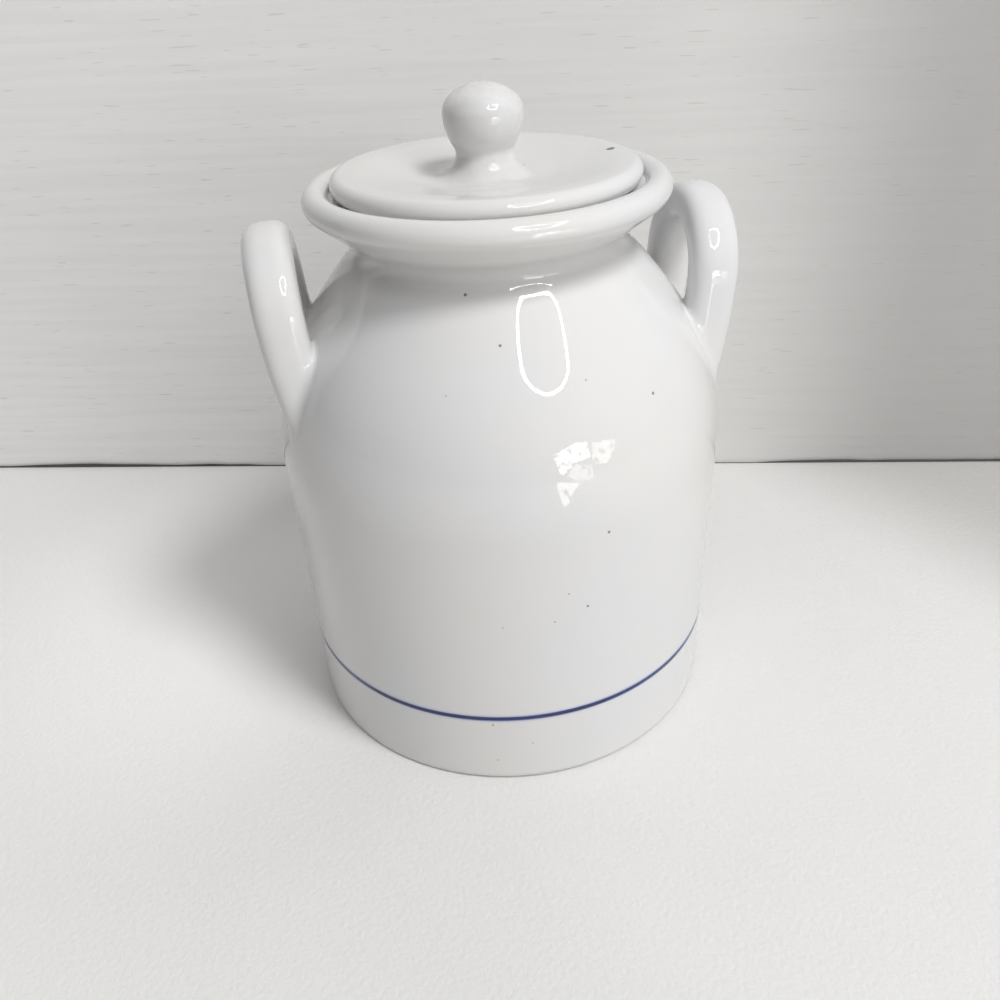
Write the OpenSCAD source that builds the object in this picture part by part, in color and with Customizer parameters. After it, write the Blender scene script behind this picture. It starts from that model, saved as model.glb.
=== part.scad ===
// Two-handled ceramic canister with a lid that drops into its collar.
// A thrown jar with a round shoulder, a short neck and a flared collar, two
// strap handles standing on the shoulder, one painted line round the foot,
// and a dished lid with a ball knob. Millimetres, +Z up, the origin in the
// middle of the surface it stands on, the handles along X.

/* [Jar wall] */
// Diameter at the widest place, which the foot, neck, lip and handles follow
body_d = 158.8; // [136:0.2:190]
// How far the wall stands in at the foot from its widest place, in radius
foot_inset = 1.4; // [0:0.1:5]
// Height of the widest place
belly_height = 104; // [94:1:114]
// Radius of the round of the shoulder
shoulder_radius = 80; // [72:1:88]
// Lean of the upper shoulder from upright, in degrees
shoulder_lean = 39.6; // [36:0.2:46]
// Thickness of the wall
wall = 5.5; // [4:0.1:7]
// Thickness of the floor
floor_thickness = 7; // [5:0.1:10]
// Radius of the round between floor and wall, inside
floor_cove = 14; // [6:1:24]

/* [Foot ring] */
// Width of the ring that the jar stands on
foot_ring_w = 8; // [5:0.1:12]
// Depth of the hollow inside the ring
foot_hollow = 3; // [1:0.1:5]
// Bevel wiped bare on both edges of the ring
foot_bevel = 1.2; // [0.5:0.1:2]

/* [Neck and collar] */
// How far the neck stands in at its narrowest from the wall's widest place
neck_inset = 32.4; // [30.4:0.2:35.4]
// Radius of the cove between shoulder and collar
neck_cove = 7; // [5:0.5:9]
// Rise of the top of the lip above the narrowest place
collar_height = 19.6; // [18:0.2:23]
// How far the rolled lip stands out from the neck, in radius
lip_reach = 12.5; // [11:0.1:14.5]
// Radius of the roll of the lip
lip_radius = 4.3; // [3.6:0.1:5]
// Depth of the ledge below the top of the lip
ledge_depth = 3.4; // [2:0.1:4]
// How much further out the mouth stands than the throat of the neck
mouth_step = 2.5; // [1:0.1:4]

/* [Painted line] */
// Height of the middle of the line
line_height = 30.2; // [20:0.2:60]
// Width of the line
line_w = 2.4; // [1:0.1:8]
// Thickness of the colour let into the glaze
line_depth = 0.3; // [0.2:0.05:0.8]

/* [Lid] */
// Gap between the lid's edge and the roll of the lip, in radius
lid_gap = 0.8; // [0.4:0.1:2]
// Thickness of the rounded edge
lid_edge = 6.8; // [6:0.2:8]
// Depth of the dish below the edge
dish_depth = 3.5; // [1:0.1:4]
// Rounds at the top and bottom of the dish's slope, as a share of the widest
dish_softness = 0.76; // [0.4:0.01:0.9]
// Thickness of the lid under the dish
lid_plate = 5; // [4:0.1:7]
// Gap between the ring under the lid and the mouth
flange_gap = 1; // [0.4:0.1:2]
// Height of the ring under the lid
flange_height = 7; // [4:0.5:7.4]
// Thickness of that ring
flange_wall = 4.5; // [3:0.1:6]
// Bevel on the lower edges of the ring
flange_bevel = 1; // [0.4:0.1:1.4]

/* [Knob] */
// Diameter of the ball
knob_d = 25.6; // [23:0.2:30]
// Height of the widest place of the ball above the dish
ball_height = 18.4; // [16:0.1:21]
// Rise of the top of the ball above its widest place
ball_crown = 8.8; // [8:0.1:11]
// Radius of the round between the widest place and the top
ball_round = 7; // [5:0.1:7.5]
// Radius of the side of the ball from its widest place down to the neck
ball_side = 17.4; // [14:0.1:19]
// Diameter of the neck, where the side of the ball ends
knob_neck_d = 18.6; // [17:0.2:21]
// Cove by which the neck spreads on to the dish, as a share of its height
knob_spread = 0.93; // [0.5:0.01:0.95]

/* [Handles] */
// Distance between the middles of the two legs
handle_spread = 42; // [36:1:48]
// Distance from the middle of the arch in to the widest radius of the jar
handle_inset = 8.6; // [7:0.2:11]
// Height of the ends of the arch above the widest place of the jar
handle_rise = 53.4; // [50:0.2:57]
// Lean of the arch outwards, in degrees
arch_lean = 3.5; // [0:0.5:7]
// Bend of each leg below the arch, in degrees
leg_bend = 15; // [12:0.5:16]
// Radius of that bend
leg_radius = 210; // [180:5:300]
// Width of the strap, across the handle
strap_w = 15.8; // [13:0.2:19]
// Thickness of the strap, along the arch
strap_t = 13.4; // [12.4:0.2:16]
// Radius of the rounding along the strap's edges
strap_round = 6; // [3:0.1:6.1]

/* [Hidden] */
$fn = 128;

glaze_white = "whitesmoke";
line_blue = "royalblue";

// Radii
body_r = body_d / 2;
foot_r = body_r - foot_inset;
neck_r = body_r - neck_inset;
rim_r = neck_r + lip_reach;
throat_r = neck_r - wall;
mouth_r = throat_r + mouth_step;
ball_r = knob_d / 2;
knob_neck_r = knob_neck_d / 2;

// The side of the ball comes in to the neck at this angle below its widest
// place, which sets how high the neck is.
ball_end = acos(1 - (ball_r - knob_neck_r) / ball_side);
knob_cove = knob_spread * (ball_height - ball_side * sin(ball_end));
knob_foot_r = knob_neck_r + knob_cove;

// The arcs of the outlines are lists: centre, radius, first and last angle.
// In the turned ones the centre is a radius first, then a height.
function at(arc, angle) = arc[0] + arc[1] * [cos(angle), sin(angle)];
function start(arc) = at(arc, arc[2]);
function end(arc) = at(arc, arc[3]);

// What the circle of an arc holds beyond the chord between the arc's ends,
// with an overlap of the same height on the near side of the chord.
module cap(arc) {
    middle = (arc[2] + arc[3]) / 2;
    beyond = [arc[0], 2 * arc[1]];
    behind = start(arc) + end(arc) - at(arc, middle);
    intersection() {
        translate(arc[0]) circle(arc[1]);
        polygon([start(arc), at(beyond, middle), end(arc), behind]);
    }
}

// Straight lines between points, of which the arcs in full swell some and
// those in hollow sink others.
module outline(points, full, hollow = []) {
    difference() {
        union() {
            polygon(points);
            for (arc = full) cap(arc);
        }
        for (arc = hollow) cap(arc);
    }
}

// The lower wall is the straight line from the foot that touches the round
// of the shoulder, so it leans out by a little.
shoulder_centre = [body_r - shoulder_radius, belly_height];
foot_to_centre = [foot_r - shoulder_centre[0], shoulder_centre[1]];
wall_flare = asin(shoulder_radius / norm(foot_to_centre))
    - atan2(foot_to_centre[0], foot_to_centre[1]);
function wall_r(height) = foot_r + height * tan(wall_flare);
line_low = line_height - line_w / 2;
line_high = line_height + line_w / 2;

// Above the round the shoulder runs straight on at shoulder_lean until the
// cove of the neck touches it, which sets the height of the neck.
shoulder_end_r = body_r - shoulder_radius * (1 - cos(shoulder_lean));
cove_start_r = neck_r + neck_cove * (1 - cos(shoulder_lean));
neck_height = belly_height + (shoulder_radius + neck_cove) * sin(shoulder_lean)
    + (shoulder_end_r - cove_start_r) / tan(shoulder_lean);
cove_centre = [neck_r + neck_cove, neck_height];

// The collar is the straight line that touches the cove and the roll.
rim_height = neck_height + collar_height;
lip_centre = [rim_r - lip_radius, rim_height - lip_radius];
cove_to_lip = lip_centre - cove_centre;
collar_flare = atan2(cove_to_lip[0], cove_to_lip[1])
    + asin((lip_radius + neck_cove) / norm(cove_to_lip));

// The ledge that carries the lid meets the roll of the lip.
ledge_height = rim_height - ledge_depth;
ledge_angle = asin((ledge_height - lip_centre[1]) / lip_radius);
lid_r = lip_centre[0] - lip_radius * cos(ledge_angle) - lid_gap;

// Arcs of the jar. The wall keeps its thickness from the foot to the throat,
// so its inside has the centres of the outside.
function shoulder(inset) =
    [shoulder_centre, shoulder_radius - inset, -wall_flare, shoulder_lean];
neck = [cove_centre, neck_cove, 180 - collar_flare, 180 + shoulder_lean];
lip_turn = (180 - ledge_angle - collar_flare) / 2;
lip_outside = [lip_centre, lip_radius, -collar_flare, lip_turn];
lip_inside = [lip_centre, lip_radius, lip_turn, 180 - ledge_angle];
throat_radius = neck_cove + wall;
mouth_angle = acos((mouth_r - cove_centre[0]) / throat_radius);
throat = [cove_centre, throat_radius, mouth_angle, 180 + shoulder_lean];

// The jar without its inside, to which the handles are fitted.
module jar_outside() {
    rotate_extrude()
        outline(
            [[0, 0], [foot_r, 0], start(shoulder(0)), end(shoulder(0)),
             [0, end(shoulder(0))[1]]],
            [shoulder(0)]);
}

module jar_body() {
    ring_inner_r = foot_r - foot_ring_w;
    floor_top = foot_hollow + floor_thickness;
    cove_z = floor_top + floor_cove;
    cove_r = wall_r(cove_z) - (wall + floor_cove) / cos(wall_flare);
    corner = [[cove_r, cove_z], floor_cove, -90, -wall_flare];
    color(glaze_white) rotate_extrude()
        outline(
            // standing ring and the shallow seat of the painted line
            [[ring_inner_r + foot_bevel, 0], [foot_r - foot_bevel, 0],
             [wall_r(foot_bevel), foot_bevel],
             [wall_r(line_low), line_low], [wall_r(line_low) - line_depth, line_low],
             [wall_r(line_high) - line_depth, line_high],
             [wall_r(line_high), line_high],
             // shoulder, neck, collar and lip, then the ledge
             start(shoulder(0)), end(shoulder(0)), end(neck), start(neck),
             start(lip_outside), end(lip_outside), end(lip_inside),
             [mouth_r, ledge_height],
             // throat, inside of the wall, floor and the hollow under it
             start(throat), end(throat), end(shoulder(wall)), start(shoulder(wall)),
             end(corner), start(corner), [0, floor_top], [0, foot_hollow],
             [ring_inner_r - foot_bevel, foot_hollow],
             [ring_inner_r, foot_hollow - foot_bevel], [ring_inner_r, foot_bevel]],
            [shoulder(0), lip_outside, lip_inside, throat],
            [neck, shoulder(wall), corner]);
}

module blue_line() {
    color(line_blue) rotate_extrude()
        polygon([
            [wall_r(line_low), line_low], [wall_r(line_high), line_high],
            [wall_r(line_high) - line_depth, line_high],
            [wall_r(line_low) - line_depth, line_low]]);
}

// Section of the strap, with its width along X.
module strap_section() {
    long = strap_w / 2 - strap_round;
    short = strap_t / 2 - strap_round;
    corners = [
        [[long, short], strap_round, 0, 90],
        [[-long, short], strap_round, 90, 180],
        [[-long, -short], strap_round, 180, 270],
        [[long, -short], strap_round, 270, 360]];
    outline([for (corner = corners) each [start(corner), end(corner)]], corners);
}

// The handle's arch: half a turn of the strap above its two ends.
module arch() {
    rotate([0, 90, 0]) rotate([0, 0, 90])
        rotate_extrude(angle = 180)
            translate([handle_spread / 2, 0]) rotate(90)
                strap_section();
}

// One leg, which leaves an end of the arch upright and bends in towards the
// jar on a wide radius.
module leg(side) {
    translate([-leg_radius, side * handle_spread / 2, 0]) rotate([90, 0, 0])
        rotate_extrude(angle = -leg_bend)
            translate([leg_radius, 0])
                strap_section();
}

// A handle on the +X side, cut to the round of the shoulder it stands on.
module handle() {
    difference() {
        translate([body_r - handle_inset, 0, belly_height + handle_rise])
            rotate([0, arch_lean, 0]) {
                arch();
                leg(-1);
                leg(1);
            }
        jar_outside();
    }
}

module handle_right() {
    color(glaze_white) handle();
}

module handle_left() {
    color(glaze_white) mirror([1, 0, 0]) handle();
}

// The lid, drawn from the ledge on which it rests. From its rounded edge the
// top slopes down to the dish round the knob, on the straight line that
// touches a round above and a round below. The widest rounds that fit would
// touch each other and leave no straight line between them.
edge_r = lid_edge / 2;
edge_centre = [lid_r - edge_r, edge_r];
dish_top = lid_edge - dish_depth;
dish_run = edge_centre[0] - knob_foot_r;
widest_round = (pow(dish_run, 2) + pow(dish_depth, 2)) / (4 * dish_depth);
dish_round = dish_softness * widest_round;
dish_centre = [knob_foot_r, dish_top + dish_round];
slope_centre = [edge_centre[0], lid_edge - dish_round];
dish_to_slope = slope_centre - dish_centre;
slope_angle = asin(2 * dish_round / norm(dish_to_slope))
    + atan2(dish_to_slope[1], dish_to_slope[0]);

module lid() {
    flange_r = mouth_r - flange_gap;
    flange_inner_r = flange_r - flange_wall;
    underside = dish_top - lid_plate;
    edge_above = [edge_centre, edge_r, 0, 90];
    edge_below = [edge_centre, edge_r, -90, 0];
    dish = [dish_centre, dish_round, -90, slope_angle - 90];
    slope = [slope_centre, dish_round, 90, slope_angle + 90];
    color(glaze_white) translate([0, 0, ledge_height]) rotate_extrude()
        outline(
            [[0, dish_top], [0, underside],
             // ring that finds the mouth
             [flange_inner_r, underside], [flange_inner_r, flange_bevel - flange_height],
             [flange_inner_r + flange_bevel, -flange_height],
             [flange_r - flange_bevel, -flange_height],
             [flange_r, flange_bevel - flange_height], [flange_r, 0],
             start(edge_below), end(edge_below), end(edge_above),
             end(slope), end(dish), start(dish)],
            [slope, edge_above, edge_below],
            [dish]);
}

// The ball of the knob is flatter above its widest place than below it: a
// round of ball_round carries its side over into the wider arc of the top.
round_r = ball_r - ball_round;
top_radius = (pow(round_r, 2) + pow(ball_crown, 2) - pow(ball_round, 2))
    / (2 * (ball_crown - ball_round));
top_angle = atan2(top_radius - ball_crown, round_r);

module lid_knob() {
    cove = [[knob_foot_r, knob_cove], knob_cove, 180, 270];
    side = [[ball_r - ball_side, ball_height], ball_side, -ball_end, 0];
    turn = [[round_r, ball_height], ball_round, 0, top_angle];
    top = [[0, ball_height + ball_crown - top_radius], top_radius, top_angle, 90];
    color(glaze_white) translate([0, 0, ledge_height + dish_top]) rotate_extrude()
        outline(
            [[0, 0], end(cove), start(cove), start(side), end(side),
             end(turn), end(top)],
            [side, turn, top],
            [cove]);
}

jar_body();
blue_line();
handle_left();
handle_right();
lid();
lid_knob();
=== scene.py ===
# %% [markdown]
# # A glazed pottery canister
# The canister is a thrown stoneware jar with two pulled handles and a lid that
# drops into its collar. Its solids come packed as a fixed frame, and this
# notebook dresses them: a lathe tree turns the round pieces, a sweep makes the
# straps, and a layered material makes the glaze. Everything is in metres.

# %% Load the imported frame
import math
import bmesh
import bpy
import numpy as np
from mathutils import Matrix, Vector


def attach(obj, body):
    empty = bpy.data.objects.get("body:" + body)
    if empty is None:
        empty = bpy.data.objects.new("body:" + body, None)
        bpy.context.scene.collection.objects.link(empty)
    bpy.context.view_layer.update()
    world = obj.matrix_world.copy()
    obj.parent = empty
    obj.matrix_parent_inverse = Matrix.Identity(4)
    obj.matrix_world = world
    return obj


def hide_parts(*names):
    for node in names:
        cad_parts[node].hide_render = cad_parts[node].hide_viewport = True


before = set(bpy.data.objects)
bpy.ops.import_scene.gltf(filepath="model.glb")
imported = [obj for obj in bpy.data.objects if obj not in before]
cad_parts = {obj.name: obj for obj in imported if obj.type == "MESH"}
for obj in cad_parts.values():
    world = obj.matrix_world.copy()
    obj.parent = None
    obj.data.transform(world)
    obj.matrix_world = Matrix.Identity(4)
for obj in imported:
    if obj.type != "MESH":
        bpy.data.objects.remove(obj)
scene = bpy.context.scene
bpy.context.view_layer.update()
mm = 0.001

# %% [markdown]
# ## Camera
# The photograph looks down on the jar from close by with a wide lens, and the
# picture leans a little. The camera's place and its three axes are given as
# they are, because a look-at target could not hold that lean.

# %% Camera at the photograph's angle
camera_data = bpy.data.cameras.new("camera")
camera_data.lens = 33.264
camera_data.sensor_width = 36.0
camera_data.clip_start = 0.01
camera = bpy.data.objects.new("camera", camera_data)
scene.collection.objects.link(camera)
camera.matrix_world = Matrix((
    (0.98228, 0.13619, -0.12873, -0.04807),
    (-0.18126, 0.51607, -0.83715, -0.30352),
    (-0.04758, 0.84565, 0.53161, 0.26280),
    (0.0, 0.0, 0.0, 1.0))).normalized()
scene.camera = camera
print("camera at", tuple(round(v, 3) for v in camera.location))

# %% [markdown]
# ## The turned outline
# On the wheel, a pot is one outline turned about an axis. The outline is made
# of straight lines and arcs that touch each other, so one helper works out an
# arc's points, another cuts long lines into short ones, and the angles follow
# from where the arcs touch. The numbers are the same as in the solids, but for
# one thing: a cone from the wheel is never quite straight, and glaze shows it
# at once, so above the shoulder the outline is let out by less than half a
# millimetre, to an arc of a long radius.

# %% Arcs and polylines
def arc(centre, radius, start, end, steps):
    """Points of an arc, from one angle to another in degrees."""
    angles = np.radians(np.linspace(start, end, steps + 1))
    return [(centre[0] + radius * math.cos(a), centre[1] + radius * math.sin(a))
            for a in angles]


def refine(points, longest):
    """The same polyline with no step longer than the given one."""
    fine = [points[0]]
    for here, there in zip(points, points[1:]):
        gap = math.dist(here, there)
        if gap < 1e-4:
            continue
        pieces = max(1, math.ceil(gap / longest))
        fine += [(here[0] + (there[0] - here[0]) * k / pieces,
                  here[1] + (there[1] - here[1]) * k / pieces)
                 for k in range(1, pieces + 1)]
    return fine


# %% The jar's measures
# the same numbers as in the solids, in millimetres and degrees
foot_r, body_r, belly, shoulder_r = 78.0, 79.4, 104.0, 80.0
lean, wall, floor_cove = 39.6, 5.5, 14.0
floor_top, foot_hollow, ring_w, bevel = 10.0, 3.0, 8.0, 1.2
neck_r, neck_cove, collar, rim_r, lip_r = 47.0, 7.0, 19.6, 59.5, 4.3
ledge_depth, mouth_step = 3.4, 2.5

shoulder_c = (body_r - shoulder_r, belly)
to_centre = (foot_r - shoulder_c[0], belly)
flare = (math.degrees(math.asin(shoulder_r / math.hypot(*to_centre)))
         - math.degrees(math.atan2(*to_centre)))
sin_lean, cos_lean = math.sin(math.radians(lean)), math.cos(math.radians(lean))
neck_z = (belly + (shoulder_r + neck_cove) * sin_lean
          + (body_r - shoulder_r * (1 - cos_lean) - neck_r
             - neck_cove * (1 - cos_lean)) * cos_lean / sin_lean)
cove_c = (neck_r + neck_cove, neck_z)
rim_z = neck_z + collar
lip_c = (rim_r - lip_r, rim_z - lip_r)
ledge_z = rim_z - ledge_depth
ledge_turn = math.degrees(math.asin((ledge_z - lip_c[1]) / lip_r))
mouth_r = neck_r - wall + mouth_step
mouth_turn = math.degrees(math.acos((mouth_r - cove_c[0]) / (neck_cove + wall)))

# the thrown cone as an arc, and the groove that it runs into
cone_start, cone_r, groove_r, groove_cove = 36.5, 300.0, 46.6, 5.5
cone_c = (shoulder_c[0] - (cone_r - shoulder_r) * math.cos(math.radians(cone_start)),
          belly - (cone_r - shoulder_r) * math.sin(math.radians(cone_start)))
cone_end = math.degrees(math.acos(
    (groove_r + groove_cove - cone_c[0]) / (cone_r + groove_cove)))
groove_c = (groove_r + groove_cove,
            cone_c[1] + (cone_r + groove_cove) * math.sin(math.radians(cone_end)))
groove_out, groove_up = lip_c[0] - groove_c[0], lip_c[1] - groove_c[1]
groove_lean = (math.degrees(math.atan2(groove_out, groove_up))
               + math.degrees(math.asin((lip_r + groove_cove)
                                        / math.hypot(groove_out, groove_up))))


def wall_r(height):
    """Radius of the straight wall below the shoulder."""
    return foot_r + height * math.tan(math.radians(flare))


print("groove at", round(groove_c[1], 2), "rim at", round(rim_z, 2),
      "ledge at", round(ledge_z, 2))

# %% The jar's outline
ring_r = foot_r - ring_w
cove_z = floor_top + floor_cove
cove_r = wall_r(cove_z) - (wall + floor_cove) / math.cos(math.radians(flare))
outside = (
    [(ring_r, foot_hollow - bevel), (ring_r, bevel), (ring_r + bevel, 0),
     (foot_r - bevel, 0), (wall_r(bevel), bevel)]
    + arc(shoulder_c, shoulder_r, -flare, cone_start, 66)
    + arc(cone_c, cone_r, cone_start, cone_end, 12)
    + arc(groove_c, groove_cove, 180 + cone_end, 180 - groove_lean, 18)
    + arc(lip_c, lip_r, -groove_lean, 180 - ledge_turn, 30))
inside = (
    [(mouth_r + 0.5, ledge_z), (mouth_r, ledge_z - 0.5)]
    + arc(cove_c, neck_cove + wall, mouth_turn, 180 + lean, 12)
    + arc(shoulder_c, shoulder_r - wall, lean, -flare, 30)
    + arc((cove_r, cove_z), floor_cove, -flare, -90, 10)
    + [(0, floor_top)])
under = [(0, foot_hollow), (ring_r - bevel, foot_hollow), (ring_r, foot_hollow - bevel)]
jar_outline = refine(outside, 1.6) + refine(inside, 3.0) + refine(under, 6.0)
print("jar outline:", len(jar_outline), "points")

# %% [markdown]
# ## A lathe in Geometry Nodes
# Three pieces and the painted line are turned, so the lathe is made once as a
# node tree. It takes the outline as the vertices of its own mesh, lays out a
# grid with one column for each step of the turn, and puts every grid point at
# the outline's radius and height. A little noise in the radius gives the
# throwing hand back: no pot from the wheel is perfectly round. The noise only
# ever takes away, so it never makes a piece larger.

# %% The lathe tree
def add_node(tree, kind, **settings):
    """A node with its settings and unlinked inputs given by name."""
    node = tree.nodes.new(kind)
    for name, value in settings.items():
        if hasattr(node, name):
            setattr(node, name, value)
        else:
            node.inputs[name.replace("_", " ")].default_value = value
    return node


def math_node(tree, operation, first, second=None):
    """A math node whose inputs are links or numbers."""
    node = tree.nodes.new("ShaderNodeMath")
    node.operation = operation
    for socket, value in zip(node.inputs, (first, second)):
        if isinstance(value, (int, float)):
            socket.default_value = value
        elif value is not None:
            tree.links.new(value, socket)
    return node.outputs[0]


def make_lathe():
    """The node tree that turns an outline in the XZ plane about the Z axis."""
    tree = bpy.data.node_groups.new("lathe", "GeometryNodeTree")
    link = tree.links.new
    face = tree.interface
    face.new_socket("Geometry", in_out="INPUT", socket_type="NodeSocketGeometry")
    for name, kind, value in (("Steps", "NodeSocketInt", 192),
                              ("Wobble", "NodeSocketFloat", 0.0),
                              ("Wobble Scale", "NodeSocketFloat", 12.0),
                              ("Glaze", "NodeSocketMaterial", None)):
        socket = face.new_socket(name, in_out="INPUT", socket_type=kind)
        if value is not None:
            socket.default_value = value
    face.new_socket("Geometry", in_out="OUTPUT", socket_type="NodeSocketGeometry")
    given = tree.nodes.new("NodeGroupInput").outputs
    result = tree.nodes.new("NodeGroupOutput").inputs

    size = tree.nodes.new("GeometryNodeAttributeDomainSize")
    link(given["Geometry"], size.inputs["Geometry"])
    points = size.outputs["Point Count"]
    grid = add_node(tree, "GeometryNodeMeshGrid", Size_X=1.0, Size_Y=1.0)
    link(math_node(tree, "ADD", given["Steps"], 1), grid.inputs["Vertices X"])
    link(points, grid.inputs["Vertices Y"])

    place = tree.nodes.new("GeometryNodeInputPosition").outputs[0]
    parts = tree.nodes.new("ShaderNodeSeparateXYZ")
    link(place, parts.inputs[0])
    turn = math_node(tree, "MULTIPLY",
                     math_node(tree, "ADD", parts.outputs["X"], 0.5), 2 * math.pi)
    row = math_node(tree, "ROUND", math_node(
        tree, "MULTIPLY", math_node(tree, "ADD", parts.outputs["Y"], 0.5),
        math_node(tree, "SUBTRACT", points, 1)))
    sample = tree.nodes.new("GeometryNodeSampleIndex")
    sample.data_type = "FLOAT_VECTOR"
    sample.domain = "POINT"
    link(given["Geometry"], sample.inputs["Geometry"])
    link(tree.nodes.new("GeometryNodeInputPosition").outputs[0], sample.inputs["Value"])
    link(row, sample.inputs["Index"])
    outline = tree.nodes.new("ShaderNodeSeparateXYZ")
    link(sample.outputs[0], outline.inputs[0])

    def turned(radius):
        """A point of the grid at this radius, at its own turn and height."""
        spot = tree.nodes.new("ShaderNodeCombineXYZ")
        link(math_node(tree, "MULTIPLY", radius, math_node(tree, "COSINE", turn)),
             spot.inputs["X"])
        link(math_node(tree, "MULTIPLY", radius, math_node(tree, "SINE", turn)),
             spot.inputs["Y"])
        link(outline.outputs["Z"], spot.inputs["Z"])
        return spot.outputs[0]

    noise = add_node(tree, "ShaderNodeTexNoise", Detail=1.0)
    link(turned(outline.outputs["X"]), noise.inputs["Vector"])
    link(given["Wobble Scale"], noise.inputs["Scale"])
    swing = math_node(tree, "MULTIPLY", given["Wobble"],
                      math_node(tree, "SUBTRACT", noise.outputs[0], 1.0))
    share = math_node(tree, "MINIMUM", math_node(
        tree, "MULTIPLY", outline.outputs["X"], 40.0), 1.0)
    radius = math_node(tree, "ADD", outline.outputs["X"],
                       math_node(tree, "MULTIPLY", swing, share))
    move = tree.nodes.new("GeometryNodeSetPosition")
    link(grid.outputs["Mesh"], move.inputs["Geometry"])
    link(turned(radius), move.inputs["Position"])
    merge = add_node(tree, "GeometryNodeMergeByDistance", Distance=1e-6)
    link(move.outputs[0], merge.inputs["Geometry"])
    smooth = tree.nodes.new("GeometryNodeSetShadeSmooth")
    link(merge.outputs[0], smooth.inputs["Geometry"])
    whole = tree.nodes.new("GeometryNodeRealizeInstances")
    link(smooth.outputs[0], whole.inputs["Geometry"])
    finish = tree.nodes.new("GeometryNodeSetMaterial")
    link(whole.outputs[0], finish.inputs["Geometry"])
    link(given["Glaze"], finish.inputs["Material"])
    link(finish.outputs[0], result["Geometry"])
    return tree


lathe = make_lathe()
print("lathe tree:", len(lathe.nodes), "nodes")


# %% Turning a piece
def turn_piece(name, outline, material, **inputs):
    """Runs an outline through the lathe and keeps the result as a plain mesh."""
    mesh = bpy.data.meshes.new(name)
    rows = [(r * mm, 0.0, z * mm) for r, z in outline]
    mesh.from_pydata(rows, [(k, k + 1) for k in range(len(rows) - 1)], [])
    holder = bpy.data.objects.new(name, mesh)
    scene.collection.objects.link(holder)
    modifier = holder.modifiers.new("lathe", "NODES")
    modifier.node_group = lathe
    keys = {s.name: s.identifier for s in lathe.interface.items_tree
            if s.item_type == "SOCKET" and s.in_out == "INPUT"}
    modifier[keys["Glaze"]] = material
    for key, value in inputs.items():
        modifier[keys[key.replace("_", " ")]] = value
    bpy.context.view_layer.update()
    evaluated = holder.evaluated_get(bpy.context.evaluated_depsgraph_get())
    turned = bpy.data.meshes.new_from_object(evaluated)
    bpy.data.objects.remove(holder)
    piece = bpy.data.objects.new(name, turned)
    scene.collection.objects.link(piece)
    face_out(turned, merge=2e-6)
    turned.set_sharp_from_angle(angle=math.radians(50))
    print(name, "has", len(turned.polygons), "faces")
    return piece


def face_out(mesh, merge=0.0):
    """Faces turned outwards, with points closer than merge made one."""
    work = bmesh.new()
    work.from_mesh(mesh)
    if merge:
        bmesh.ops.remove_doubles(work, verts=work.verts, dist=merge)
        bmesh.ops.dissolve_degenerate(work, dist=1e-7, edges=work.edges)
    bmesh.ops.recalc_face_normals(work, faces=work.faces)
    work.to_mesh(mesh)
    work.free()


# %% [markdown]
# ## The white glaze
# A white glaze is glass over pale clay, so one smooth shader with the usual
# index of glass will do: its reflections are as sharp as a window's. The colour
# drifts from warm to cool over centimetres, as the coat is thicker or thinner,
# and shade is painted into the groove under the collar as a greyer colour. Iron
# in the clay burns through as a few dark specks, some placed where the real jar
# has them and the others strewn by a cell texture. Heights in the bump are in
# metres: long waves that make reflections waver, and a fine orange peel.

# %% Shader helpers
def shader(name, roughness):
    """A material with a principled shader, ready for its colour and bump."""
    material = bpy.data.materials.new(name)
    material.use_nodes = True
    tree = material.node_tree
    skin = tree.nodes["Principled BSDF"]
    skin.inputs["Roughness"].default_value = roughness
    place = tree.nodes.new("ShaderNodeTexCoord").outputs["Object"]
    return material, tree, skin, place


def noise(tree, place, scale, detail=2.0):
    """Values of a noise texture, most of them between 0.3 and 0.7."""
    node = add_node(tree, "ShaderNodeTexNoise", Scale=scale, Detail=detail)
    tree.links.new(place, node.inputs["Vector"])
    return node.outputs[0]


def blend_colours(tree, share, first, second):
    """Mixes two colours, each a link or a value, by a share."""
    mix = tree.nodes.new("ShaderNodeMix")
    mix.data_type = "RGBA"
    tree.links.new(share, mix.inputs["Factor"])
    for socket, value in ((mix.inputs["A"], first), (mix.inputs["B"], second)):
        if isinstance(value, tuple):
            socket.default_value = (*value, 1.0)
        else:
            tree.links.new(value, socket)
    return mix.outputs["Result"]


def band(tree, value, low, high, top=1.0):
    """0 at low, top at high, and a smooth step between."""
    node = tree.nodes.new("ShaderNodeMapRange")
    node.interpolation_type = "SMOOTHSTEP"
    tree.links.new(value, node.inputs["Value"])
    node.inputs["From Min"].default_value = low
    node.inputs["From Max"].default_value = high
    node.inputs["To Max"].default_value = top
    return node.outputs[0]


def near(tree, place, spot, inner, outer, top=1.0):
    """A soft dot: top inside the inner radius, 0 outside the outer one."""
    gap = tree.nodes.new("ShaderNodeVectorMath")
    gap.operation = "DISTANCE"
    tree.links.new(place, gap.inputs[0])
    gap.inputs[1].default_value = spot
    return band(tree, gap.outputs["Value"], outer, inner, top)


def total(tree, operation, parts):
    """Several values taken together by one operation."""
    result = parts[0]
    for part in parts[1:]:
        result = math_node(tree, operation, result, part)
    return result


def bumpy(tree, skin, height):
    """A bump from heights in metres."""
    bump = tree.nodes.new("ShaderNodeBump")
    bump.inputs["Strength"].default_value = 1.0
    bump.inputs["Distance"].default_value = 1.0
    tree.links.new(height, bump.inputs["Height"])
    tree.links.new(bump.outputs[0], skin.inputs["Normal"])


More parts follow.
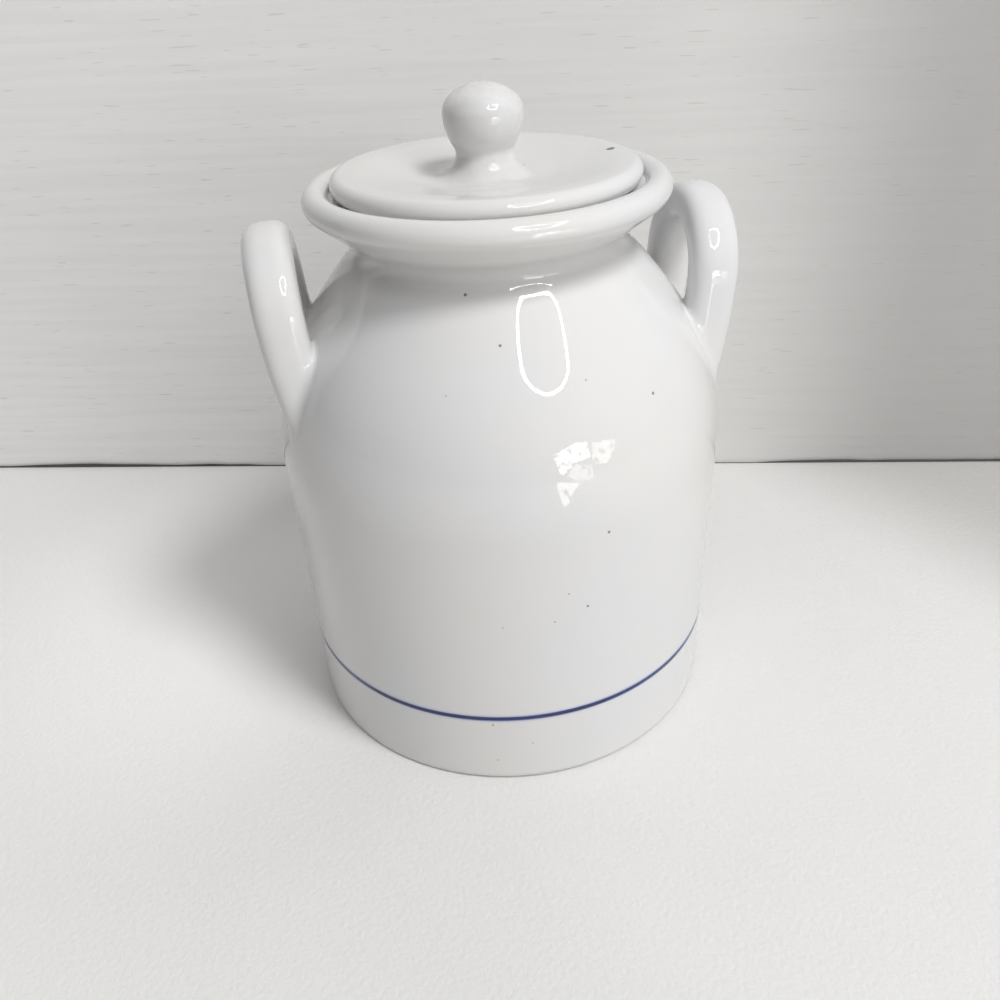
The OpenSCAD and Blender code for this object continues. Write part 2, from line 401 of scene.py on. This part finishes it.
# %% Glaze material
# specks seen on the jar: place in metres, radius in millimetres, strength
seen_specks = (
    ((-0.0152, -0.0456, 0.1707), 0.6, 0.85), ((-0.0077, -0.0576, 0.1588), 0.5, 0.8),
    ((0.0160, -0.0643, 0.1479), 0.35, 0.5), ((0.0381, -0.0604, 0.1389), 0.55, 0.8),
    ((0.0201, -0.0768, 0.1018), 0.55, 0.8), ((0.0068, -0.0788, 0.0818), 0.35, 0.6),
    ((0.0132, -0.0779, 0.0750), 0.5, 0.8), ((0.0020, -0.0789, 0.0714), 0.35, 0.6),
    ((-0.0147, -0.0776, 0.0712), 0.4, 0.35), ((-0.0199, -0.0758, 0.0273), 0.5, 0.6),
    ((-0.0065, -0.0780, 0.0175), 0.45, 0.4), ((-0.0190, -0.0758, 0.0097), 0.45, 0.4),
    ((-0.0250, -0.0619, 0.1471), 0.4, 0.3), ((0.0422, 0.0034, 0.1972), 1.3, 2.5),
    ((0.0430, 0.0042, 0.1974), 1.0, 2.5))
pimples = (((-0.0494, -0.0571, 0.1286), 1.6), ((-0.0158, -0.0684, 0.1413), 2.6))
white_warm, white_cool = (0.71, 0.70, 0.685), (0.69, 0.692, 0.698)
# the first of these two colours is painted shade for the groove under the collar
groove_shade, mottled = (0.59, 0.585, 0.575), (0.42, 0.40, 0.38)
iron, line_blue = (0.07, 0.06, 0.055), (0.34, 0.40, 0.64)
line_z, line_w = 30.2, 2.4
# the coat's waves: how fine they are, and how high in metres at a waver of 1
waves = ((22.0, 6e-5), (75.0, 1.6e-5), (420.0, 1.4e-6))
speck_pit, pimple_top = -1.5e-5, 9e-5
# limits of the painted shade in the groove: where it starts and is full, in millimetres,
# and how full
shade_radius, shade_below, shade_above = (52, 47.5, 0.9), (163, 171, 1.0), (186, 180, 1.0)


def in_groove(tree, parts):
    """How much painted shade a point gets in the groove under the collar, from its
    coordinates.
    """
    flat = tree.nodes.new("ShaderNodeCombineXYZ")
    off_axis = tree.nodes.new("ShaderNodeVectorMath")
    off_axis.operation = "LENGTH"
    for axis in "XY":
        tree.links.new(parts.outputs[axis], flat.inputs[axis])
    tree.links.new(flat.outputs[0], off_axis.inputs[0])
    deep, risen, sunk = (band(tree, value, start * mm, full * mm, top)
                         for value, (start, full, top) in (
                             (off_axis.outputs["Value"], shade_radius),
                             (parts.outputs["Z"], shade_below),
                             (parts.outputs["Z"], shade_above)))
    return math_node(tree, "MULTIPLY", deep, math_node(tree, "MULTIPLY", risen, sunk))


def make_glaze(name, waver, mottle=0.0, dullness=0.014):
    """The white glaze, with as much waver, mottle and dullness as a piece needs."""
    material, tree, skin, place = shader(name, roughness=0.05)
    link = tree.links.new
    colour = blend_colours(tree, band(tree, noise(tree, place, 14.0), 0.35, 0.65),
                           white_warm, white_cool)
    if mottle:
        patches = band(tree, noise(tree, place, 130.0, 3.0), 0.38, 0.62, mottle)
        colour = blend_colours(tree, patches, colour, mottled)
    parts = tree.nodes.new("ShaderNodeSeparateXYZ")
    link(place, parts.inputs[0])
    off_line = math_node(tree, "ABSOLUTE", math_node(
        tree, "SUBTRACT", parts.outputs["Z"], line_z * mm))
    halo = band(tree, off_line, 2.3 * mm, 1.1 * mm, 0.40)
    colour = blend_colours(tree, halo, colour, line_blue)
    # painted shade: the groove under the collar is made greyer
    colour = blend_colours(tree, in_groove(tree, parts), colour, groove_shade)
    dark = [near(tree, place, spot, radius * 0.5 * mm, radius * 1.2 * mm, depth)
            for spot, radius, depth in seen_specks]
    cells = add_node(tree, "ShaderNodeTexVoronoi", Scale=30.0, Randomness=1.0)
    link(place, cells.inputs["Vector"])
    chance = tree.nodes.new("ShaderNodeSeparateColor")
    link(cells.outputs["Color"], chance.inputs[0])
    dark.append(math_node(tree, "MULTIPLY",
                          band(tree, cells.outputs["Distance"], 0.013, 0.006, 0.7),
                          band(tree, chance.outputs[0], 0.90, 0.93)))
    dark = total(tree, "MAXIMUM", dark)
    link(blend_colours(tree, dark, colour, iron), skin.inputs["Base Color"])
    rough = band(tree, noise(tree, place, 60.0), 0.3, 0.7, 0.018)
    link(math_node(tree, "ADD", rough, dullness), skin.inputs["Roughness"])
    heights = [math_node(tree, "MULTIPLY", noise(tree, place, scale, 1.0), waver * size)
               for scale, size in waves]
    heights.append(math_node(tree, "MULTIPLY", dark, speck_pit))
    heights += [near(tree, place, spot, 0.0, radius * mm, pimple_top)
                for spot, radius in pimples]
    bumpy(tree, skin, total(tree, "ADD", heights))
    return material


jar_glaze = make_glaze("jar_glaze", waver=0.22)
knob_glaze = make_glaze("knob_glaze", waver=0.35, mottle=0.16, dullness=0.035)
print("glaze nodes:", len(jar_glaze.node_tree.nodes))

# %% [markdown]
# ## Bare clay on the foot
# The foot ring is wiped before firing, or the pot would weld itself to the
# shelf. It stays a dull tan with a fine grit, and only the faces of the ring
# get it.

# %% Clay material
clay_dark, clay_light = (0.34, 0.27, 0.19), (0.56, 0.47, 0.35)


def make_clay():
    """Dull tan clay with a fine grit."""
    material, tree, skin, place = shader("bare_clay", roughness=0.85)
    colour = blend_colours(tree, noise(tree, place, 900.0, 3.0), clay_dark, clay_light)
    tree.links.new(colour, skin.inputs["Base Color"])
    bumpy(tree, skin, math_node(tree, "MULTIPLY", noise(tree, place, 1800.0), 1e-4))
    return material


bare_clay = make_clay()
print("made", bare_clay.name)

# %% [markdown]
# ## The jar
# The jar goes through the lathe without a wobble, because the handles' feet
# have to lie on it to a hundredth of a millimetre. Faces of the foot ring are
# then given to the bare clay.

# %% Turn the jar
jar_steps, wiped_height = 240, 1.7
jar = turn_piece("jar_wall", jar_outline, jar_glaze, Steps=jar_steps)
jar.data.materials.append(bare_clay)
for face in jar.data.polygons:
    radius = math.hypot(face.center.x, face.center.y)
    if radius > (ring_r - 0.5) * mm and face.center.z < wiped_height * mm:
        face.material_index = 1
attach(jar, "jar")
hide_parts("jar_body")

# %% [markdown]
# ## The painted line
# The line was brushed on while the jar turned, so it is stronger where the
# brush was full, its edges are a little soft where the glaze drew the colour
# out, and a faint halo of it stays in the white on both sides.

# %% Blue line
blue_thin, blue_full = (0.026, 0.036, 0.125), (0.012, 0.016, 0.055)
# in metres: how far the line sways and swells, and where its edge fades
line_sway, line_swell, line_fade = 0.0004, 0.0004, (0.00040, 0.00090)


def make_line_glaze():
    """Blue with soft edges, darker where the brush was full."""
    material, tree, skin, place = shader("blue_line_glaze", roughness=0.05)
    link = tree.links.new
    height = tree.nodes.new("ShaderNodeSeparateXYZ")
    link(place, height.inputs[0])
    load = noise(tree, place, 40.0, 3.0)
    sway = math_node(tree, "MULTIPLY", math_node(
        tree, "SUBTRACT", noise(tree, place, 25.0, 1.0), 0.5), line_sway)
    offset = math_node(tree, "ABSOLUTE", math_node(
        tree, "SUBTRACT", math_node(tree, "ADD", height.outputs["Z"], sway),
        line_z * mm))
    edge_share = band(tree, math_node(tree, "SUBTRACT", offset, math_node(
        tree, "MULTIPLY", load, line_swell)), *line_fade)
    blue = blend_colours(tree, band(tree, load, 0.3, 0.75), blue_thin, blue_full)
    link(blend_colours(tree, edge_share, blue, line_blue), skin.inputs["Base Color"])
    bumpy(tree, skin, math_node(tree, "MULTIPLY", noise(tree, place, 75.0, 1.0), 1.6e-5))
    return material


line_glaze = make_line_glaze()
# a hair proud of the wall, but with both edges let into it
proud, let_in, band_depth = 0.03, -0.05, 0.2
line_heights = [line_z + line_w * t for t in (-0.5, -0.47, -0.3, 0.0, 0.3, 0.47, 0.5)]
line_face = [(wall_r(z) + (proud if abs(z - line_z) < 1.15 else let_in), z)
             for z in line_heights]
line_back = [(r - band_depth, z) for r, z in reversed(line_face)]
line = turn_piece("blue_band", line_face + line_back + line_face[:1], line_glaze,
                  Steps=jar_steps)
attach(line, "jar")
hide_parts("blue_line")

# %% [markdown]
# ## The handles
# A pulled handle is a strap that is bent while soft and pressed on to the
# shoulder. Its middle line is half a circle on two long bends, and its section
# is a squared oval. Such a piece could be a curve with a bevel object, but then
# its feet could not be shaped, so the strap is built from its own numbers: a
# row of stations along the middle line, with the section drawn at each.

# %% Stations along the strap
spread, inset, rise, arch_lean = 42.0, 8.6, 53.4, 3.5
leg_bend, leg_radius, strap_w, strap_t, squareness = 15.0, 210.0, 15.8, 13.4, 2.7


def strap_stations(leg_steps=150, arch_steps=70):
    """Middle points of the strap, with its width, travel and outward directions."""
    half = spread / 2
    bends = np.radians(np.linspace(leg_bend, 0, leg_steps))
    rows = [(leg_radius * (math.cos(a) - 1), -half, -leg_radius * math.sin(a),
             math.cos(a), 0, -math.sin(a), math.sin(a), 0, math.cos(a)) for a in bends]
    rows += [(0, -half * math.cos(t), half * math.sin(t), 1, 0, 0,
              0, math.sin(t), math.cos(t))
             for t in np.linspace(0, math.pi, arch_steps + 2)[1:-1]]
    rows += [(leg_radius * (math.cos(a) - 1), half, -leg_radius * math.sin(a),
              math.cos(a), 0, -math.sin(a), -math.sin(a), 0, -math.cos(a))
             for a in bends[::-1]]
    rows = np.array(rows)
    middle, wide, ahead = rows[:, :3], rows[:, 3:6], rows[:, 6:]
    tilt = math.radians(arch_lean)
    tip = np.array([[math.cos(tilt), 0, -math.sin(tilt)], [0, 1, 0],
                    [math.sin(tilt), 0, math.cos(tilt)]])
    middle, wide, ahead = middle @ tip, wide @ tip, ahead @ tip
    return middle + (body_r - inset, 0, belly + rise), wide, np.cross(wide, ahead)


stations, station_wide, station_thick = strap_stations()
print("strap:", len(stations), "stations")

# %% [markdown]
# Where a leg comes to the wall, slip is smoothed round the joint with a wet
# finger and the glaze rounds it further. To get that fillet, every point near
# the joint is moved until it lies at the right two distances, one from the
# strap and one from the wall. Their square roots add up to a constant on a
# parabola that touches both skins, and the same share of the way gives a
# normal that turns smoothly from one skin to the other.

# %% Distances from the strap and from the wall
def off_strap(points):
    """Distance from the strap's skin, and the direction away from it."""
    nearest = np.array([np.argmin(((stations - p) ** 2).sum(1)) for p in points])
    offset = points - stations[nearest]
    wide, thick = station_wide[nearest], station_thick[nearest]
    u, v = (offset * wide).sum(1), (offset * thick).sum(1)
    a, b, n = strap_w / 2, strap_t / 2, squareness
    x, y = np.maximum(abs(u) / a, 1e-6), np.maximum(abs(v) / b, 1e-6)
    size = (x ** n + y ** n) ** (1 / n)
    slope_u = np.sign(u) * (x / size) ** (n - 1) / a
    slope_v = np.sign(v) * (y / size) ** (n - 1) / b
    steep = np.hypot(slope_u, slope_v)
    away = wide * (slope_u / steep)[:, None] + thick * (slope_v / steep)[:, None]
    return (size - 1) / steep, away


def off_wall(points):
    """The same for the round of the shoulder and the cone above it."""
    radius = np.hypot(points[:, 0], points[:, 1])
    flat, height = radius - shoulder_c[0], points[:, 2] - belly
    high = np.arctan2(height, flat) > math.radians(cone_start)
    flat = np.where(high, radius - cone_c[0], flat)
    height = np.where(high, points[:, 2] - cone_c[1], height)
    far = np.hypot(flat, height)
    away = np.stack([points[:, 0] / radius * flat / far,
                     points[:, 1] / radius * flat / far, height / far], 1)
    return far - np.where(high, cone_r, shoulder_r), away


def join_to_wall(points, size, clear=0.01):
    """Moves points near the wall on to the fillet, and returns their normals."""
    gap, away_wall = off_wall(points)
    away_strap = off_strap(points)[1]
    along = (away_strap * away_wall).sum(1)
    reach = size * np.sqrt(np.clip(1 - along ** 2, 0.04, 1))
    share = np.clip((reach - gap) / (2 * reach), 0, 1)
    move = np.flatnonzero((share > 0) & (share < 1))
    for _ in range(5):
        spots = points[move]
        near_strap, away_strap = off_strap(spots)
        near_wall, away_wall = off_wall(spots)
        along = (away_strap * away_wall).sum(1)
        go_strap = reach[move] * share[move] ** 2 - near_strap
        go_wall = reach[move] * (1 - share[move]) ** 2 + clear - near_wall
        room = np.maximum(1 - along ** 2, 0.05)
        points[move] += (away_strap * ((go_strap - along * go_wall) / room)[:, None]
                         + away_wall * ((go_wall - along * go_strap) / room)[:, None])
    normals = (off_strap(points)[1] * (1 - share)[:, None]
               + off_wall(points)[1] * share[:, None])
    return normals / np.linalg.norm(normals, axis=1)[:, None]


# %% Make a handle
def make_handle(name, side, node, columns=64, fillet=3.4):
    """The strap on the left (side -1) or on the right (side 1)."""
    turn = np.linspace(0, 2 * math.pi, columns, endpoint=False)
    power = 2 / squareness
    across = strap_w / 2 * np.sign(np.cos(turn)) * abs(np.cos(turn)) ** power
    thick = strap_t / 2 * np.sign(np.sin(turn)) * abs(np.sin(turn)) ** power
    points = (stations[:, None] + station_wide[:, None] * across[:, None]
              + station_thick[:, None] * thick[:, None]).reshape(-1, 3)
    normals = join_to_wall(points, fillet)
    mirror = np.array((side, 1, 1))
    last = len(stations) - 1
    faces = [(i * columns + k, i * columns + (k + 1) % columns,
              (i + 1) * columns + (k + 1) % columns, (i + 1) * columns + k)
             for i in range(last) for k in range(columns)]
    faces += [tuple(range(columns)),
              tuple(range(last * columns, (last + 1) * columns))]
    mesh = bpy.data.meshes.new(name)
    mesh.from_pydata((points * mirror * mm).tolist(), [], faces)
    face_out(mesh)
    mesh.polygons.foreach_set("use_smooth", [True] * len(mesh.polygons))
    mesh.normals_split_custom_set_from_vertices((normals * mirror).tolist())
    mesh.materials.append(jar_glaze)
    piece = bpy.data.objects.new(name, mesh)
    scene.collection.objects.link(piece)
    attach(piece, "jar")
    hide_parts(node)
    print(name, "has", len(mesh.polygons), "faces")


make_handle("strap_left", -1, "handle_left")
make_handle("strap_right", 1, "handle_right")

# %% [markdown]
# ## The lid and its knob
# The lid is a dished plate with a rolled edge and a ring under it that finds
# the mouth. The knob was thrown on top of it: a ball that is flatter above
# than below, on a short neck that spreads into the dish.

# %% Measures of the lid and the knob
edge, dish, plate, dish_softness = 6.8, 3.5, 5.0, 0.76
flange_gap, flange_h, flange_w, flange_bevel = 1.0, 7.0, 4.5, 1.0
ball, ball_z, crown, ball_round, ball_side = 12.8, 18.4, 8.8, 7.0, 17.4
knob_neck, knob_spread, lid_gap = 9.3, 0.93, 0.8

lid_r = lip_c[0] - lip_r * math.cos(math.radians(ledge_turn)) - lid_gap
dish_top = edge - dish
ball_end = math.degrees(math.acos(1 - (ball - knob_neck) / ball_side))
crease_z = ball_z - ball_side * math.sin(math.radians(ball_end))
knob_cove = knob_spread * crease_z
knob_foot = knob_neck + knob_cove
print("lid radius", round(lid_r, 2), "crease of the knob at", round(crease_z, 2))


# %% Turn the lid
def soften(points, corner, reach):
    """Rounds a corner of an outline, as the glaze that gathers in it does."""
    inside = [k for k, p in enumerate(points) if math.dist(p, corner) < reach]
    first, last = points[inside[0]], points[inside[-1]]
    bend = [tuple((1 - t) ** 2 * a + 2 * t * (1 - t) * c + t * t * b
                  for a, c, b in zip(first, corner, last))
            for t in np.linspace(0, 1, 9)]
    return points[:inside[0]] + bend + points[inside[-1] + 1:]


edge_c = (lid_r - edge / 2, edge / 2)
dish_run = edge_c[0] - knob_foot
dish_round = dish_softness * (dish_run ** 2 + dish ** 2) / (4 * dish)
low_c = (knob_foot, dish_top + dish_round)
high_c = (edge_c[0], edge - dish_round)
run, drop = high_c[0] - low_c[0], high_c[1] - low_c[1]
slope = (math.degrees(math.asin(2 * dish_round / math.hypot(run, drop)))
         + math.degrees(math.atan2(drop, run)))
flange_r = mouth_r - flange_gap
lid_outline = refine(
    [(0, dish_top - plate), (flange_r - flange_w, dish_top - plate),
     (flange_r - flange_w, flange_bevel - flange_h),
     (flange_r - flange_w + flange_bevel, -flange_h),
     (flange_r - flange_bevel, -flange_h), (flange_r, flange_bevel - flange_h),
     (flange_r, 0)]
    + arc(edge_c, edge / 2, -90, 90, 22)
    + arc(high_c, dish_round, 90, slope + 90, 6)
    + arc(low_c, dish_round, slope - 90, -90, 6) + [(0, dish_top)], 1.2)
lid_outline = [(r, z + ledge_z) for r, z in lid_outline]
lid = turn_piece("lid_plate", lid_outline, jar_glaze, Steps=192, Wobble=0.00012)
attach(lid, "lid")
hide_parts("lid")

# %% Turn the knob
turn_r = ball - ball_round
top_r = (turn_r ** 2 + crown ** 2 - ball_round ** 2) / (2 * (crown - ball_round))
top_turn = math.degrees(math.atan2(top_r - crown, turn_r))
knob_outline = refine(
    [(0, -1.5), (knob_foot + 1.2, -1.5), (knob_foot + 1.2, -0.02)]
    + arc((knob_foot, knob_cove), knob_cove, 270, 180, 16)
    + arc((ball - ball_side, ball_z), ball_side, -ball_end, 0, 14)
    + arc((turn_r, ball_z), ball_round, 0, top_turn, 14)
    + arc((0, ball_z + crown - top_r), top_r, top_turn, 90, 10), 0.6)
knob_outline = soften(knob_outline, (knob_neck, crease_z), 1.5)
knob_outline = [(max(r, 0), z + ledge_z + dish_top) for r, z in knob_outline]
knob = turn_piece("ball_knob", knob_outline, knob_glaze, Steps=112, Wobble=0.00009,
                  Wobble_Scale=45.0)
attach(knob, "lid")
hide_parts("lid_knob")

# %% [markdown]
# ## Floor and backdrop
# The jar stands on pale cloth close to a pale, ribbed wall. The wall has
# one side only: from behind it lets everything through, so it never hides the
# jar in other views.

# %% Floor and wall
def card(name, corners, material):
    """A flat sheet for the floor or the backdrop, apart from the canister."""
    mesh = bpy.data.meshes.new(name)
    mesh.from_pydata(corners, [], [tuple(range(len(corners)))])
    piece = bpy.data.objects.new(name, mesh)
    scene.collection.objects.link(piece)
    mesh.materials.append(material)


cloth_dull, cloth_pale = (0.74, 0.732, 0.72), (0.77, 0.763, 0.75)
# painted light to the left and in the jar's shadow, and a painted shadow far right
painted_light_left, painted_light_in_shadow, painted_shadow_far_right = ((0.86, 0.85, 0.835), (0.93, 0.92, 0.905),
                                         (0.50, 0.49, 0.475))
# centre of the painted light in the jar's shadow, and the direction to the far right
painted_light_spot, to_right = (-0.135, 0.05, 0.0), (0.924, 0.382)
# the wall's painted light to the left, its middle tone, and its painted shade to the right
paper_painted_light, paper_middle, paper_painted_shade = ((0.89, 0.88, 0.865), (0.74, 0.73, 0.715),
                                         (0.44, 0.432, 0.422))
flute_shade, dash_shade = (0.30, 0.295, 0.29), (0.25, 0.24, 0.23)


def make_cloth():
    """Pale cloth, with painted light to the left and in the jar's shadow, and painted
    shadow far right.
    """
    material, tree, skin, place = shader("floor_cloth", roughness=0.9)
    link = tree.links.new
    colour = blend_colours(tree, band(tree, noise(tree, place, 7.0, 3.0), 0.3, 0.7),
                           cloth_dull, cloth_pale)
    spot = tree.nodes.new("ShaderNodeSeparateXYZ")
    link(place, spot.inputs[0])
    far_side = total(tree, "ADD", [
        math_node(tree, "MULTIPLY", spot.outputs[axis], share)
        for axis, share in zip("XY", to_right)])
    # painted light to the left
    colour = blend_colours(tree, band(tree, spot.outputs["X"], -0.05, -0.25),
                           colour, painted_light_left)
    # painted light where the jar's shadow falls
    colour = blend_colours(tree, near(tree, place, painted_light_spot, 0.04, 0.15),
                           colour, painted_light_in_shadow)
    # painted shadow far right
    colour = blend_colours(tree, band(tree, far_side, 0.16, 0.26, 0.8),
                           colour, painted_shadow_far_right)
    link(colour, skin.inputs["Base Color"])
    bumpy(tree, skin, math_node(tree, "MULTIPLY", noise(tree, place, 520.0, 2.0), 2.5e-4))
    return material


def make_wall():
    """Ribbed paper, with painted light to the left and painted shade to the right, that
    only shows from its front.
    """
    material, tree, skin, place = shader("wall_paper", roughness=0.8)
    link = tree.links.new
    spot = tree.nodes.new("ShaderNodeSeparateXYZ")
    link(place, spot.inputs[0])
    # painted light to the left, painted shade to the right
    colour = blend_colours(tree, band(tree, spot.outputs["X"], -0.20, 0.14),
                           paper_painted_light, paper_middle)
    colour = blend_colours(tree, band(tree, spot.outputs["X"], 0.11, 0.24),
                           colour, paper_painted_shade)

    def stretched(across, up, detail):
        """Noise drawn out sideways, by its scales across and up."""
        squeeze = tree.nodes.new("ShaderNodeMapping")
        squeeze.inputs["Scale"].default_value = (across, across, up)
        link(place, squeeze.inputs["Vector"])
        return noise(tree, squeeze.outputs[0], 1.0, detail)

    flute = stretched(9.0, 230.0, 2.0)
    # a little painted shade along the flutes, besides their bump
    colour = blend_colours(tree, band(tree, flute, 0.35, 0.65, 0.05), colour, flute_shade)
    dash = band(tree, stretched(85.0, 1300.0, 0.0), 0.76, 0.83, 0.22)
    link(blend_colours(tree, dash, colour, dash_shade), skin.inputs["Base Color"])
    bumpy(tree, skin, math_node(tree, "MULTIPLY", flute, 2e-4))
    clear = tree.nodes.new("ShaderNodeBsdfTransparent")
    choose = tree.nodes.new("ShaderNodeMixShader")
    link(tree.nodes.new("ShaderNodeNewGeometry").outputs["Backfacing"], choose.inputs[0])
    link(skin.outputs[0], choose.inputs[1])
    link(clear.outputs[0], choose.inputs[2])
    link(choose.outputs[0], tree.nodes["Material Output"].inputs["Surface"])
    return material


card("floor", [(-3, -3, 0), (3, -3, 0), (3, 3, 0), (-3, 3, 0)], make_cloth())
seam_left, seam_right = (-0.95, 0.399), (0.75, -0.039)
wall_foot, wall_top = 0.0005, 0.9
card("backdrop", [(*seam_left, wall_foot), (*seam_right, wall_foot),
                  (*seam_right, wall_top), (*seam_left, wall_top)], make_wall())


# %% The painted shadow at the foot of the wall
# in metres: its least height, how it swells, and what it leaves free in front
seam_low, seam_swell, seam_bottom, seam_front = 0.0007, 0.0042, 0.0002, 0.0006


def make_seam_shadow():
    """A thin, uneven dark ribbon a hair in front of the wall: a painted shadow where it
    meets the floor.
    """
    material, _, skin, _ = shader("seam_shade", roughness=0.9)
    # painted shadow: a near-black colour for the gap between wall and floor
    skin.inputs["Base Color"].default_value = (0.09, 0.086, 0.08, 1.0)
    start, end = np.array(seam_left), np.array(seam_right)
    front = (end - start)[::-1] * (1, -1) * seam_front
    rng = np.random.default_rng(5)
    shares = np.linspace(0, 1, 171)
    rough = np.convolve(rng.random(175), np.ones(5) / 5, "valid")
    corners, faces = [], []
    for share, size in zip(shares, rough):
        x, y = start + (end - start) * share - front * np.sign(front[1])
        corners += [(x, y, seam_bottom),
                    (x, y, seam_low + seam_swell * max(size - 0.36, 0.0))]
    faces = [(2 * k, 2 * k + 2, 2 * k + 3, 2 * k + 1) for k in range(len(shares) - 1)]
    mesh = bpy.data.meshes.new("seam_shadow_strip")
    mesh.from_pydata(corners, [], faces)
    piece = bpy.data.objects.new("seam_shadow_strip", mesh)
    scene.collection.objects.link(piece)
    mesh.materials.append(material)


make_seam_shadow()

# %% [markdown]
# ## Light
# The light is soft and comes from the front right and from above, and a weak
# room fills the rest. The sharp reflections in the glaze have lights of their
# own: a lying loop of light tube over the jar and four patches of daylight.
# Neither the camera nor the floor can see those.

# %% Lamps and world
def lamp(name, place, target, size, power):
    """A round lamp that gives no reflection of its own."""
    data = bpy.data.lights.new(name, "AREA")
    data.shape = "DISK"
    data.size = size
    data.energy = power
    piece = bpy.data.objects.new(name, data)
    scene.collection.objects.link(piece)
    aim = Vector(target) - Vector(place)
    piece.location = place
    piece.rotation_euler = aim.to_track_quat("-Z", "Y").to_euler()
    piece.visible_glossy = False


middle = (0, 0, 0.10)
lamp("key_lamp", (0.436, -0.600, 1.287), middle, 0.36, 9.8)
lamp("window_mid", (0.491, -0.851, 0.788), middle, 0.5, 2.2)
lamp("window_low", (0.591, -1.023, 0.308), middle, 0.4, 2.4)
world = bpy.data.worlds.new("room")
scene.world = world
world.use_nodes = True
room = world.node_tree
sky = room.nodes["Background"]
sky.inputs["Color"].default_value = (0.97, 0.97, 0.98, 1.0)
# the room is brighter to the right, to the front and above
toward = room.nodes.new("ShaderNodeSeparateXYZ")
room.links.new(room.nodes.new("ShaderNodeTexCoord").outputs["Generated"], toward.inputs[0])
walls = [math_node(room, "MULTIPLY", math_node(room, "MAXIMUM", math_node(
             room, "MULTIPLY", toward.outputs[axis], sign), 0.0), share)
         for axis, sign, share in (("X", 1.0, 0.18), ("Y", -1.0, 0.17), ("Z", 1.0, 0.40))]
room.links.new(total(room, "ADD", walls), sky.inputs["Strength"])
print("lamps:", [l.name for l in bpy.data.lights])


# %% Ring lamp and daylight, seen only in the glaze
def glow(name, strength, colour=(1.0, 1.0, 1.0)):
    """A material that only gives light."""
    material = bpy.data.materials.new(name)
    material.use_nodes = True
    tree = material.node_tree
    tree.nodes.remove(tree.nodes["Principled BSDF"])
    light = tree.nodes.new("ShaderNodeEmission")
    light.inputs["Strength"].default_value = strength
    light.inputs["Color"].default_value = (*colour, 1.0)
    tree.links.new(light.outputs[0], tree.nodes["Material Output"].inputs["Surface"])
    return material


def reflected(piece):
    """Leaves a light visible in reflections only."""
    piece.visible_camera = False
    piece.visible_diffuse = False
    piece.visible_shadow = False
    piece.visible_transmission = False


def through(points, steps):
    """A smooth closed curve through the given points."""
    here = np.array(points, float)
    before, after, then = (np.roll(here, k, 0) for k in (1, -1, -2))
    t = np.linspace(0, 1, steps, endpoint=False)[:, None, None]
    curve = (2 * here + (after - before) * t
             + (2 * before - 5 * here + 4 * after - then) * t ** 2
             + (3 * here - before - 3 * after + then) * t ** 3) / 2
    return curve.transpose(1, 0, 2).reshape(-1, 2)


def make_ring(corners, height, tube_far, tube_near, strength, round_tube=8):
    """A lying loop of light tube, thinner on its far side than on its near one."""
    loop = through(corners, 12) * mm
    ahead = np.roll(loop, -1, 0) - np.roll(loop, 1, 0)
    out = np.stack([ahead[:, 1], -ahead[:, 0]], 1) / np.hypot(*ahead.T)[:, None]
    low, high = loop[:, 1].min(), loop[:, 1].max()
    tube = tube_near + (tube_far - tube_near) * (loop[:, 1] - low) / (high - low)
    points, faces = [], []
    for k, (place, side, size) in enumerate(zip(loop, out, tube)):
        for j in range(round_tube):
            b = 2 * math.pi * j / round_tube
            points.append((*(place + side * size * math.cos(b)),
                           height + size * math.sin(b)))
            ring, step = (k + 1) % len(loop) * round_tube, (j + 1) % round_tube
            faces.append((k * round_tube + j, k * round_tube + step, ring + step, ring + j))
    mesh = bpy.data.meshes.new("ring_lamp")
    mesh.from_pydata(points, [], faces)
    piece = bpy.data.objects.new("ring_lamp", mesh)
    scene.collection.objects.link(piece)
    mesh.materials.append(glow("ring_glow", strength))
    reflected(piece)


def make_window(name, corners, strength, colour=(1.0, 1.0, 1.0)):
    """A mottled patch of daylight, given by its corners in millimetres."""
    mesh = bpy.data.meshes.new(name)
    mesh.from_pydata([tuple(v * mm for v in c) for c in corners], [],
                     [tuple(range(len(corners)))])
    piece = bpy.data.objects.new(name, mesh)
    scene.collection.objects.link(piece)
    material = glow(name + "_glow", strength, colour)
    tree = material.node_tree
    place = tree.nodes.new("ShaderNodeTexCoord").outputs["Object"]
    light = tree.nodes["Emission"]
    share = band(tree, noise(tree, place, 60.0, 4.0), 0.34, 0.52, strength)
    tree.links.new(share, light.inputs["Strength"])
    mesh.materials.append(material)
    reflected(piece)


make_ring([(94, -286), (172, -267), (250, -252), (294, -282), (318, -381), (330, -500),
           (312, -599), (237, -656), (149, -609), (96, -539), (61, -445), (61, -345)],
          height=0.6, tube_far=0.0042, tube_near=0.0100, strength=45.0)
make_window("daylight_bright", [
    (93, -389, 175), (162, -360, 194), (196, -343, 185), (199, -348, 140),
    (149, -374, 137), (142, -378, 126), (120, -386, 110), (108, -390, 117)], 9.5)
make_window("daylight_right", [
    (209, -336, 177), (270, -288, 161), (259, -302, 124), (241, -318, 105),
    (201, -347, 118)], 4.5, (1.0, 0.98, 0.93))
make_window("daylight_low", [
    (152, -373, 134), (203, -346, 112), (199, -346, 76), (162, -366, 76),
    (130, -382, 101)], 4.0, (1.0, 0.97, 0.9))
make_window("daylight_tip", [
    (99, -392, 91), (162, -366, 73), (146, -371, 55), (128, -371, 22), (113, -372, 6),
    (106, -379, 23), (96, -390, 68)], 6.0, (1.0, 0.98, 0.92))

# %% Finish: the view transform
scene.view_settings.view_transform = "Standard"
